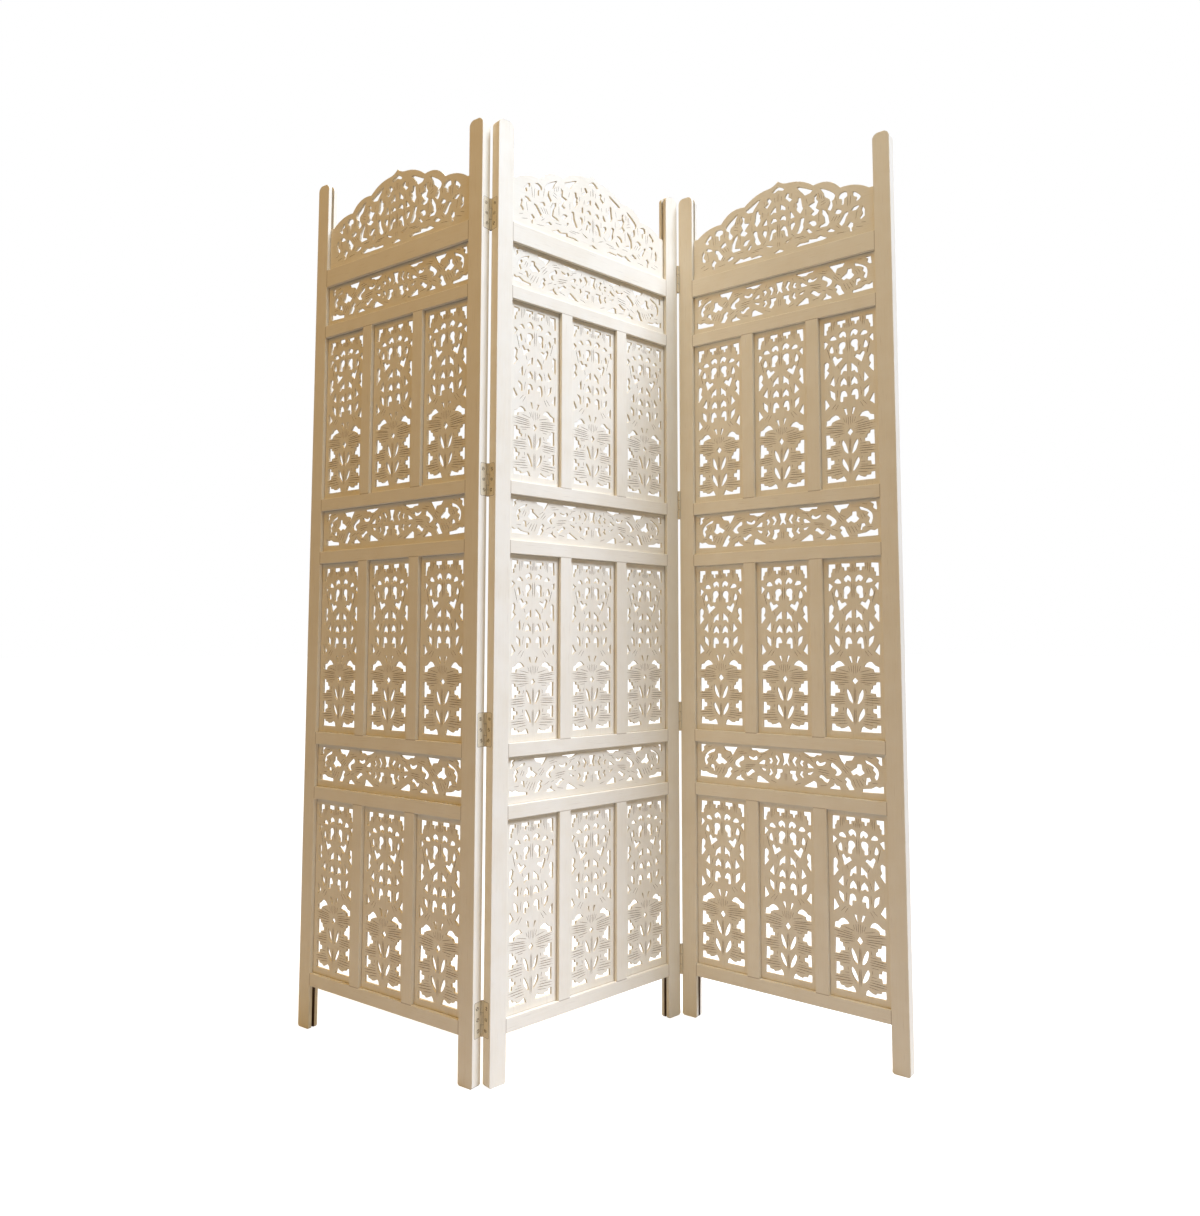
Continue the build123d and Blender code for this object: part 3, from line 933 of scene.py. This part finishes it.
@dataclass
class Leaf:
    """One leaf of the screen: frame, fretwork panels, bands and crest."""

    side: str
    standing: Standing
    finish: list[Material]
    overcut: float  # how far the fretsaw strays outside the template
    closer: float = 0.1  # how much closer to the template the bands and the crest are sawn
    curve_steps: int = 8  # steps round a horn's quarter turn
    scallop_steps: int = 9  # steps along one scallop of the crest
    cusps: tuple[Point2, ...] = ((141.5, 114.5), (82.0, 137.5), (22.0, 161.0))  # between the scallops
    scallop_rises: tuple[float, ...] = (6.0, 10.0, 5.5, -2.0)  # how far each swells out
    horn_groove_painted_shade: float = 0.25  # the painted shade in the open groove beside a horn, as a share of the darkening below it
    sizes: LeafSizes = field(default_factory=LeafSizes)

    def build(self) -> None:
        """Builds every piece of the leaf in place of its plain one."""
        size = self.sizes
        self._stile("left_stile", at_left=True)
        self._stile("right_stile", at_left=False)
        self._rail("bottom_rail", size.foot, size.rail, 0.0)
        self._muntins()
        for tier, level in enumerate(("lower", "centre", "upper")):
            sill = size.opening(tier) + size.tall
            band = sill + size.rail
            self._panels(f"{level}_panels", size.opening(tier))
            self._rail(f"{level}_band_sill", sill, size.rail, size.cross_groove)
            self._band(f"{level}_band", band)
            if tier < size.tiers - 1:
                self._rail(f"{level}_band_head", band + size.band, size.rail, size.cross_groove)
        self._rail("top_rail", size.top_rail_bottom, size.top_rail, size.cross_groove)
        self._crest()

    def _start(self, part: str, grain: Grain) -> tuple[Workpiece, Random]:
        """A new piece, and the hand that works it."""
        hand = Random(f"{self.side} {part}")
        piece = Workpiece(f"{self.side}_{part}_painted", self.standing, grain)
        piece.take_timber(hand)
        return piece, hand

    def _close(self, piece: Workpiece, part: str, slot: str) -> None:
        """Makes the piece stand for its plain part."""
        made = piece.finish(self.finish, f"{self.side}_leaf", slot)
        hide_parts(f"{self.side}_leaf_{part}")

    def _stile(self, part: str, at_left: bool) -> None:
        """A stile with a rounded horn, an eased foot and the groove down its inner edge."""
        size = self.sizes
        piece, _ = self._start(part, Grain.UP)
        proud = size.hinge_edge if (self.side, at_left) not in (("left", True), ("right", False)) else 0.0
        member = Member(size.stile + proud, high_groove=size.stile_groove)
        shoulder = size.crest_base + size.crest_shoulder
        rings = []
        dressed = []
        for z, inset, planed in self._levels(shoulder):
            points, bare, kinds = member.section(inset, planed)
            # above the shoulder the empty groove is painted, and takes a lighter painted shade
            if z >= shoulder:
                bare = [self.horn_groove_painted_shade * share for share in bare]
                kinds = [Face.CUT if kind is Face.BARE else kind for kind in kinds]
            ring = [((a - proud if at_left else size.width + proud - a), d, z) for a, d in points]
            rings.append(piece.add(ring, bare))
            dressed.append(kinds)
        for first, second, kinds in zip(rings, rings[1:], dressed):
            piece.skin([first, second], kinds)
        piece.cap(rings[0], Face.BARE)
        piece.cap(rings[-1], Face.PAINTED)
        self._close(piece, part, "painted_frame")

    def _levels(self, shoulder: float) -> list[Point3]:
        """The heights of a stile's sections, with how far edges and faces are drawn in at each.

        Args:
            shoulder: The height of the crest's shoulder, where the groove stops being filled.

        Returns:
            Levels of (height, inset of the edges, inset of the faces), from the floor up.
        """
        size = self.sizes
        levels = [(0.0, size.foot_chamfer, 0.0), (size.foot_chamfer, 0.0, 0.0)]
        levels += [(shoulder - size.horn_fade, 0.0, 0.0), (shoulder, 0.0, 0.0)]
        for step in range(self.curve_steps):
            angle = math.radians(90 * step / self.curve_steps)
            height = size.height - size.horn_radius + size.horn_radius * math.sin(angle)
            levels.append((height, size.horn_radius * (1 - math.cos(angle)), 0.0))
        eased, arris = size.horn_radius - SHY_MM, size.horn_arris
        return levels + [(size.height - arris, eased, 0.0), (size.height, eased + arris, arris)]

    def _rail(self, part: str, bottom: float, height: float, low_groove: float) -> None:
        """A rail between the stiles, its ends let in under the stiles' eased arrises."""
        size = self.sizes
        piece, _ = self._start(part, Grain.ACROSS)
        member = Member(height, low_groove=low_groove, high_groove=size.cross_groove)
        member.run(piece, bottom, size.stile - member.arris, size.width - size.stile + member.arris)
        self._close(piece, part, "painted_frame")

    def _muntins(self) -> None:
        """The uprights between the tall panels."""
        size = self.sizes
        piece, hand = self._start("muntins", Grain.UP)
        member = Member(size.muntin, low_groove=size.cross_groove, high_groove=size.cross_groove)
        for tier in range(size.tiers):
            bottom = size.opening(tier)
            top = bottom + size.tall
            for left in size.lefts()[1:]:
                piece.take_timber(hand)
                member.run(piece, left - size.muntin, bottom - member.arris, top + member.arris)
        self._close(piece, "muntins", "painted_frame")

    def _board(self, piece: Workpiece, width: float, height: float, fretwork: tuple, at: Point2) -> None:
        """Sets a fretwork board in the grooves all round an opening.

        Args:
            piece: The piece that takes it.
            width: The opening's width.
            height: Its height.
            fretwork: The outlines and the lines that are cut in the board.
            at: Where the middle of the opening's lower edge lies.
        """
        half, reach = width / 2 + self.sizes.tongue, self.sizes.tongue
        outline = [(-half, -reach), (half, -reach), (half, height + reach), (-half, height + reach)]
        seat = []
        for inset in (0.0, Board.shade_and_joint_band):
            side, low, high = width / 2 - inset, inset, height - inset
            seat.append([(-side, low), (side, low), (side, high), (-side, high), (-side, low)])
        Board().carve(piece, outline, fretwork, seat, at)

    def _panels(self, part: str, bottom: float) -> None:
        """The three tall fretwork panels of a tier."""
        size = self.sizes
        piece, hand = self._start(part, Grain.UP)
        for left in size.lefts():
            piece.take_timber(hand)
            fretwork = TALL_FRET.cut(hand, self.overcut)
            self._board(piece, size.column, size.tall, fretwork, (left + size.column / 2, bottom))
        self._close(piece, part, "carved_panels")

    def _band(self, part: str, bottom: float) -> None:
        """A long fretwork band between two rails."""
        size = self.sizes
        piece, hand = self._start(part, Grain.ACROSS)
        fretwork = BAND_FRET.cut(hand, self.overcut - self.closer)
        self._board(piece, size.clear, size.band, fretwork, (size.width / 2, bottom))
        self._close(piece, part, "carved_panels")

    def _crest(self) -> None:
        """The scalloped crest that stands in the top rail and between the horns."""
        size = self.sizes
        piece, hand = self._start("crest", Grain.ACROSS)
        fretwork = CREST_FRET.cut(hand, self.overcut - self.closer)
        half = self._scallops()
        seat = []
        for inset in (0.0, Board.shade_and_joint_band):
            side, top = size.clear / 2 - inset, size.crest_shoulder - Board.lip - SHY_MM
            seat.append([(-side, top), (-side, inset), (side, inset), (side, top)])
        Board().carve(piece, half + mirrored(half)[1:], fretwork, seat, (size.width / 2, size.crest_base))
        self._close(piece, "crest", "carved_panels")

    def _scallops(self) -> Outline:
        """The crest's outline from its foot's middle, up its right edge and over to the peak."""
        size = self.sizes
        side = size.clear / 2 + size.tongue
        cusps = [(203.0, size.crest_shoulder), *self.cusps, (0.0, size.crest_peak)]
        outline = [(0.0, -size.tongue), (side, -size.tongue), (side, size.crest_shoulder)]
        for (x1, z1), (x2, z2), rise in zip(cusps, cusps[1:], self.scallop_rises):
            dx, dz = x2 - x1, z2 - z1
            run = math.hypot(dx, dz)
            for step in range(self.scallop_steps):
                t = step / self.scallop_steps
                swell = 4 * t * (1 - t) * rise
                outline.append((x1 + dx * t + dz / run * swell, z1 + dz * t - dx / run * swell))
        outline.append(cusps[-1])
        return outline


@dataclass(frozen=True)
class HingeHalf:
    """One side of a joint's hinges: the leaf that it is screwed to, and its knuckles."""

    name: str
    leaf: str
    standing: Standing
    pin: Point2  # where the pin's axis lies on that leaf
    knuckles: tuple[int, ...]  # which thirds of the hinge, from the bottom, roll round the pin here

    @property
    def wood(self) -> float:
        """Which way along the leaf its stile lies from the pin."""
        return 1.0 if self.pin[0] < 0 else -1.0

    @property
    def away(self) -> float:
        """Which way through the leaf's depth the plate reaches from the pin."""
        return -1.0 if self.pin[1] > 0 else 1.0


@dataclass
class Hinges:
    """The row of butt hinges at one joint, with their screws."""

    joint: str
    halves: tuple[HingeHalf, HingeHalf]  # the fixed one, then the swung one
    plate_finish: Material
    screw_finish: Material
    heights: tuple[float, ...] = (118.0, 642.0, 1115.0, 1640.0)
    length: float = 64.0
    plate: float = 1.2
    reach: float = 20.0
    corner: float = 3.0  # radius of the plate's corners
    corner_steps: int = 4
    pressed: float = 0.3  # how far below its face the plate's pressed edge begins
    pressed_in: float = 0.45  # how far in the edge is drawn at the face
    rubbed_in: float = 1.0  # how far in from the edge the plate is darkened: rubbed paint and a painted shade outline
    rubbed: float = 0.9  # how dark the plates' edges, the knuckles' ends and the pins are: rubbed paint, and painted shade in the gaps
    edge: float = 1.8  # from the pin's axis to the stile's edge, along the leaf
    arris: float = 2.9  # from the pin's axis to the stile's nearest arris
    barrel: float = 2.7
    barrel_bareness: float = 0.1
    barrel_steps: int = 20
    barrel_end: tuple[Point2, ...] = ((1.3, 0.0), (2.4, 0.0), (2.7, 0.3))  # (radius, how far in)
    pin_steps: int = 16
    pin_end: tuple[Point2, ...] = ((0.02, 0.0), (0.875, 0.05), (1.25, 0.4))
    root: float = 1.5  # how far from the pin a plate grows out of its knuckle
    gap: float = 0.3
    screw: float = 3.5
    screw_steps: int = 28
    screw_rings: tuple[Point2, ...] = ((1.0, 0.0), (0.9, -0.12), (0.78, -0.14), (0.4, -0.2))
    screw_rim: float = 0.13  # the dark rim, painted shade round the head, ends where the head has risen by this
    screw_bareness: float = 0.25
    screw_row: float = 11.0  # from the pin's axis to the middle screw
    screw_rises: tuple[float, ...] = (-20.0, 0.0, 20.0)
    screw_stray: float = 0.07  # how far the row leans, for each millimetre up
    slot: float = 0.75  # half the width of a screw's slot
    slot_depth: float = 0.35

    def build(self) -> None:
        """Builds both halves of every hinge, their pins and their screws."""
        knuckle = self.length / 3
        for half in self.halves:
            plates = Workpiece(f"{self.joint}_hinge_{half.name}_leaves", half.standing)
            screws = Workpiece(f"{self.joint}_hinge_{half.name}_screws", half.standing)
            for height in self.heights:
                self._plate(plates, half, height)
                for index in half.knuckles:
                    low = height - self.length / 2 + index * knuckle + self.gap / 2
                    span = (low, low + knuckle - self.gap)
                    self._turned(plates, half.pin, span, self.barrel_end, self.barrel_steps)
                for rise in self.screw_rises:
                    self._screw(screws, half, height + rise, self.screw_row + rise * self.screw_stray)
            made = plates.finish([self.plate_finish], half.leaf, "hinge_plates")
            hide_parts(f"{self.joint}_hinge_{half.name}_plates")
            screws.finish([self.screw_finish], half.leaf, "hinge_plates")
        fixed = self.halves[0]
        pins = Workpiece(f"{self.joint}_hinge_wires", fixed.standing)
        for height in self.heights:
            span = (height - self.length / 2, height + self.length / 2)
            self._turned(pins, fixed.pin, span, self.pin_end, self.pin_steps)
        made = pins.finish([self.screw_finish], fixed.leaf, "hinge_pins")
        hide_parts(f"{self.joint}_hinge_pins")

    def _plate(self, piece: Workpiece, half: HingeHalf, height: float) -> None:
        """One leaf of a hinge: a flat plate with round corners, notched for the other's knuckles."""
        tall, knuckle = self.length / 2, self.length / 3
        points: Outline = []
        for z_sign, start in ((-1, 270), (1, 0)):
            for step in range(self.corner_steps + 1):
                angle = math.radians(start + 90 * step / self.corner_steps)
                reach = self.reach - self.corner + self.corner * math.cos(angle)
                points.append((reach, z_sign * (tall - self.corner) + self.corner * math.sin(angle)))
        for index in (2, 1, 0):
            own = index in half.knuckles
            depth = self.root if own else self.barrel + self.gap
            top = -tall + (index + 1) * knuckle - (self.gap / 2 if own and index < 2 else 0)
            low = -tall + index * knuckle + (self.gap / 2 if own and index else 0)
            points += [(depth, top), (depth, low)]
        face = self.edge - self.plate
        edges = ((self.edge, 0.0), (face + self.pressed, 0.0), (face, self.pressed_in))
        rings = []
        for offset, shrink in (*edges, (face, self.rubbed_in)):
            ring = [
                (half.pin[0] + half.wood * offset, half.pin[1] + half.away * r, height + z)
                for r, z in grown(points, -shrink)
            ]
            # the plate's edge and a band in from it are darkened: rubbed paint, and a painted shade outline
            rings.append(piece.add(ring, [self.rubbed if shrink < self.rubbed_in else 0.0] * len(ring)))
        piece.skin(rings, [Face.PAINTED] * len(points))
        piece.cap(rings[0], Face.PAINTED)
        piece.cap(rings[-1], Face.PAINTED)

    def _turned(
        self, piece: Workpiece, axis: Point2, span: Point2, end: tuple[Point2, ...], count: int
    ) -> None:
        """Turns a knuckle or a pin, both of its ends alike, and darkens it near the pin as painted shade in
        the gaps.

        Args:
            piece: The piece that takes it.
            axis: Where the pin's axis lies on the leaf.
            span: The heights that it begins and ends at.
            end: The radii at an end, each with how far in from the end it is reached.
            count: How many flats go round it.
        """
        profile = [(radius, span[0] + rise) for radius, rise in end]
        profile += [(radius, span[1] - rise) for radius, rise in reversed(end)]
        turns = [2 * math.pi * i / count for i in range(count)]
        rings = []
        for radius, z in profile:
            ring = [(axis[0] + radius * math.cos(a), axis[1] + radius * math.sin(a), z) for a in turns]
            # the knuckles' ends and the pins, seen only in the gaps, take painted shade
            darkening = self.barrel_bareness if radius > self.barrel - SHY_MM else self.rubbed
            rings.append(piece.add(ring, [darkening] * count))
        piece.skin([*rings, rings[0]], [Face.PAINTED] * count)

    def _screw(self, piece: Workpiece, half: HingeHalf, z: float, along: float) -> None:
        """A countersunk slotted head, its slot turned at random, with painted shade in its slot and round
        its rim.
        """
        count, face = self.screw_steps, self.edge - self.plate
        turn = Random(f"{self.joint} {half.wood} {z:.0f}").uniform(0, math.pi)
        rings = []
        for share, lift in self.screw_rings:  # of the head's radius, and how far it rises
            ring, bare = [], []
            for i in range(count):
                angle = 2 * math.pi * i / count
                r, h = self.screw * share * math.cos(angle), self.screw * share * math.sin(angle)
                in_slot = abs(-r * math.sin(turn) + h * math.cos(turn)) < self.slot and lift < 0
                sunk = self.slot_depth if in_slot else 0.0
                depth = half.pin[1] + half.away * along + r
                ring.append((half.pin[0] + half.wood * (face + lift + sunk), depth, z + h))
                # the slot and the rim take painted shade, and the rest of the head a little rubbed paint
                bare.append(1.0 if in_slot or lift > -self.screw_rim else self.screw_bareness)
            rings.append(piece.add(ring, bare))
        piece.skin(rings, [Face.PAINTED] * count)
        piece.cap(rings[-1], Face.PAINTED)


# ---- Studio ------------------------


@dataclass(frozen=True)
class Lamp:
    """A square soft lamp that points at a target."""

    name: str
    place: Point3
    target: Point3
    size: float
    power: float
    colour: str

    def hang(self) -> None:
        """Puts the lamp in the studio."""
        data = bpy.data.lights.new(self.name, "AREA")
        data.size = self.size
        data.energy = self.power
        data.color = linear(self.colour)[:3]
        lamp = new_object(self.name, data)
        lamp.location = self.place
        aim = Vector(self.target) - Vector(self.place)
        lamp.rotation_mode = "QUATERNION"
        lamp.rotation_quaternion = aim.to_track_quat("-Z", "Y")


LAMPS = (
    Lamp("key_softbox", (4.65, -8.7, 13.0), (0.0, 0.0, 1.0), 5.1, 3300.0, "#DAE5FF"),
    Lamp("front_softbox", (0.5, -6.4, 9.4), (0.0, 0.0, 1.0), 3.0, 180.0, "#F4F6FF"),
    Lamp("left_fill", (-3.2, -0.5, 3.8), (0.1, 0.0, 0.9), 2.0, 44.0, "#FFBE28"),
    Lamp("top_fill", (-0.3, -1.0, 3.1), (0.2, -0.15, 1.5), 1.0, 12.5, "#D2EEFF"),
    Lamp("back_softbox", (3.2, 4.4, 6.0), (0.0, 0.0, 0.9), 3.0, 340.0, "#FFE8C4"),
)


@dataclass
class Studio:
    """A plain white floor, soft lamps and the camera."""

    camera_place: Point3 = (-1.23245, -1.42995, 0.80066)
    camera_yaw: float = -0.742992  # radians, about the upright
    camera_pitch: float = 0.076038  # radians, above the horizon
    sensor_mm: float = 36.0
    lens_mm: float = 27.105
    shift: Point2 = (-0.014545, -0.027283)
    floor_half: float = 60.0
    floor_near: str = "#B3B3B3"
    floor_far: str = "#5A5A5A"
    floor_fade: Point2 = (0.9, 1.8)  # from the screen, where the near tone gives way to the far one
    glow: float = 0.9
    glow_rise: Point2 = (1.0, 4.0)  # over this stretch the floor's glow comes up to full white
    surround: str = "#FFD68E"
    surround_strength: float = 0.24

    def build(self) -> None:
        """Sets the whole studio up."""
        self._camera()
        self._floor()
        self._world()
        for lamp in LAMPS:
            lamp.hang()
        bpy.context.scene.view_settings.view_transform = "Standard"

    def _camera(self) -> None:
        """The camera, a little to the left and at about half the screen's height."""
        data = bpy.data.cameras.new("camera")
        data.sensor_width = self.sensor_mm
        data.lens = self.lens_mm
        data.shift_x, data.shift_y = self.shift
        camera = new_object("camera", data)
        camera.location = self.camera_place
        camera.rotation_euler = (math.pi / 2 + self.camera_pitch, 0.0, self.camera_yaw)
        bpy.context.scene.camera = camera

    def _floor(self) -> None:
        """A floor that shows white to the camera and still takes the screen's shadow."""
        half = self.floor_half
        mesh = bpy.data.meshes.new("studio_floor")
        corners = [(-half, -half, 0), (half, -half, 0), (half, half, 0), (-half, half, 0)]
        mesh.from_pydata(corners, [], [(0, 1, 2, 3)])
        new_object("studio_floor", mesh)
        material, tree, shader = new_material("matt_white_floor")
        path = add_node(tree, "LightPath")
        place = add_node(tree, "NewGeometry").outputs["Position"]
        away = add_node(tree, "VectorMath", {0: place}, operation="LENGTH").outputs["Value"]
        fade, glow = (
            add_node(
                tree, "MapRange", {"Value": away, "From Min": start, "From Max": end, "To Min": least}
            ).outputs["Result"]
            for (start, end), least in ((self.floor_fade, 0.0), (self.glow_rise, self.glow))
        )
        tones = {0: fade, 6: linear(self.floor_near), 7: linear(self.floor_far)}
        tone = add_node(tree, "Mix", tones, data_type="RGBA").outputs[2]
        feed(tree, shader, {"Base Color": tone, "Roughness": 0.9})
        seen = add_node(
            tree, "Math", {0: path.outputs["Is Camera Ray"], 1: glow}, operation="MULTIPLY"
        ).outputs[0]
        light = add_node(tree, "Emission", {"Strength": seen})
        both = add_node(tree, "AddShader", {0: shader.outputs[0], 1: light.outputs[0]})
        feed(tree, tree.nodes["Material Output"], {"Surface": both.outputs[0]})
        mesh.materials.append(material)

    def _world(self) -> None:
        """A white surround to the eye, and a soft warm grey to the woodwork."""
        world = bpy.data.worlds.new("studio")
        world.use_nodes = True
        tree = world.node_tree
        tree.nodes.clear()
        path = add_node(tree, "LightPath")
        seen = path.outputs["Is Camera Ray"]
        for ray in ("Is Glossy Ray", "Is Transmission Ray"):
            seen = add_node(tree, "Math", {0: seen, 1: path.outputs[ray]}, operation="MAXIMUM").outputs[0]
        soft, white = (
            add_node(tree, "Background", {"Color": linear(colour), "Strength": strength}).outputs[0]
            for colour, strength in ((self.surround, self.surround_strength), ("#FFFFFF", 1.0))
        )
        mix = add_node(tree, "MixShader", {0: seen, 1: soft, 2: white})
        out = add_node(tree, "OutputWorld", {"Surface": mix.outputs[0]})
        out.is_active_output = True
        bpy.context.scene.world = world


def joint_pin(joints: list[dict], name: str) -> tuple[Vector, float]:
    """The pin's place of a named joint, and how far its leaf stands folded, in radians."""
    joint = next(j for j in joints if j["name"] == name)
    return Vector(joint["pos_m"]), math.radians(joint["range_deg"][1])


def main() -> None:
    """Builds the studio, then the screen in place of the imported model's plain parts."""
    logging.basicConfig(level=logging.INFO, format="%(name)s: %(message)s")
    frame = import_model()
    Studio().build()
    woodwork = [
        finish.material()
        for finish in (
            ChalkPaint("brushed_cream_chalk_paint"),
            ChalkPaint("thin_paint_on_sawn_edges", body="#E8DFC9", thin="#DDCFB0", fresh="#EDE6D6"),
            BareMango("bare_stained_mango_wood"),
            # the faces inside the V-cuts: painted shade, a dark brown that deepens towards the keel
            ChalkPaint(
                "bare_wood_in_scored_lines", body="#AA8D64", thin="#987B55", fresh="#B89E78", wood="#523A22"
            ),
        )
    ]
    plate_paint = PaintedSteel("cream_painted_steel").material()
    screw_paint = PaintedSteel("rubbed_painted_screw", paint="#BBAA88", wear_and_shade="#43382A").material()

    size = LeafSizes()
    off = math.sqrt(Hinges.arris**2 - Hinges.edge**2)
    near, far = -Hinges.edge, size.width + Hinges.edge
    behind, before = size.timber + off, -off
    middle = Standing(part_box("middle_leaf_left_stile")[0], (0.0, 0.0), 0.0)
    standings = {"middle": middle}
    for side, own in (("left", (far, behind)), ("right", (near, before))):
        pin, fold = joint_pin(frame["joints"], f"{side}_fold")
        standings[side] = Standing(pin, own, -fold)
    for side, overcut in (("left", 0.2), ("middle", -0.7), ("right", 0.1)):
        Leaf(side, standings[side], woodwork, overcut).build()
    for side, on_middle in (("left", (near, behind)), ("right", (far, before))):
        standing = standings[side]
        fixed = HingeHalf("fixed", "middle_leaf", middle, on_middle, (0, 2))
        swung = HingeHalf("swung", f"{side}_leaf", standing, standing.hinge, (1,))
        Hinges(side, (fixed, swung), plate_paint, screw_paint).build()


if __name__ == "__main__":
    main()
